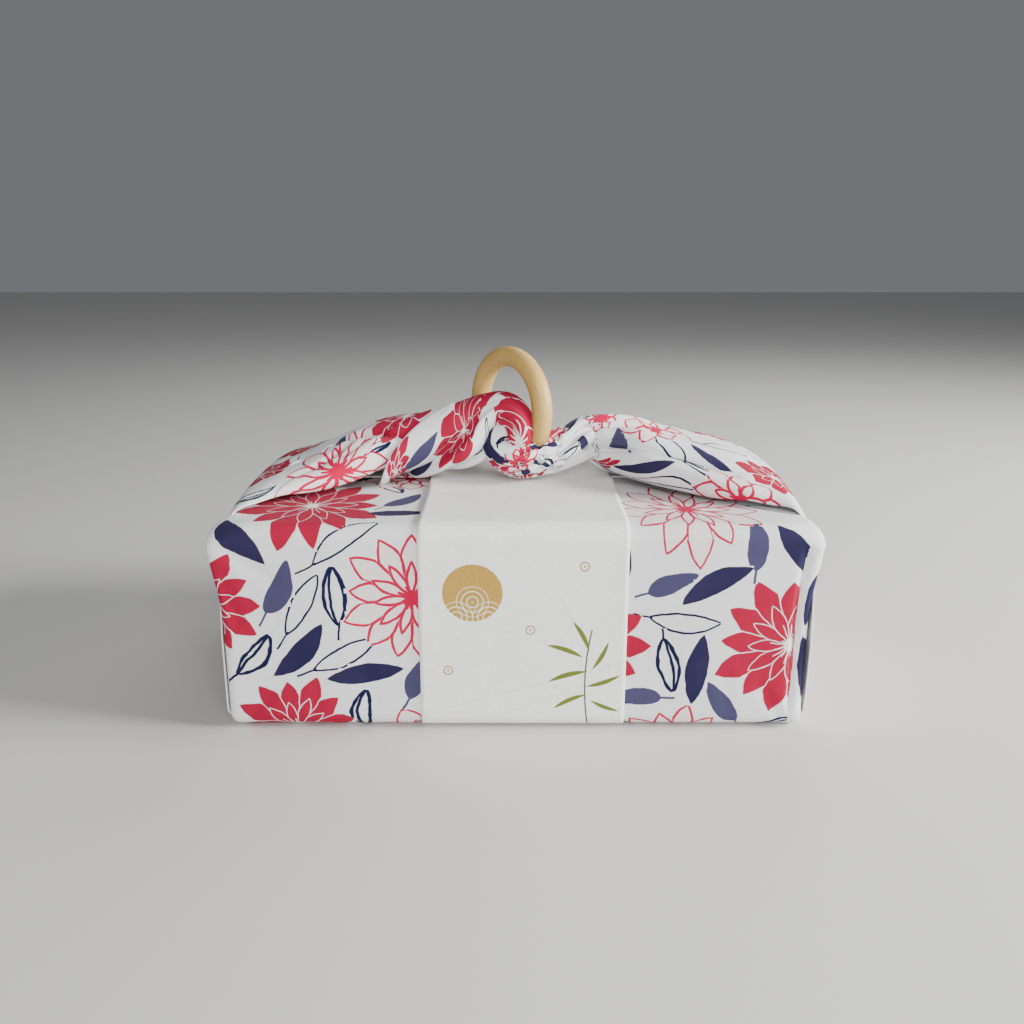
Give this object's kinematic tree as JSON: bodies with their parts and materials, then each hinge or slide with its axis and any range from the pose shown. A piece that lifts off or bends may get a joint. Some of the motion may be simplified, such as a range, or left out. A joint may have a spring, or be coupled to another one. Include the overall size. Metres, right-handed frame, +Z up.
{
  "type": "furoshiki wrap on a box",
  "caption": "Box wrapped in a square printed cotton cloth, its gathered ears knotted on top through a wooden ring, with a paper band round the middle.",
  "frame": {"origin": "on the surface under the middle of the bundle's footprint", "axes": "+X along the box's long side, -Y the front, +Z up"},
  "size_m": [0.2641, 0.1642, 0.16],
  "materials": {
    "cotton": "thin plain-woven cotton, matt, off-white ground with a red, navy and slate flower print",
    "ring_wood": "pale turned wood, smooth, thin satin oil",
    "band_paper": "off-white washi paper with a few fibres, matt",
    "box_board": "plain board, matt"
  },
  "bodies": {
    "root": {"cloth": "cotton", "ring": "ring_wood", "band": "band_paper", "box": "box_board"}
  },
  "joints": []
}
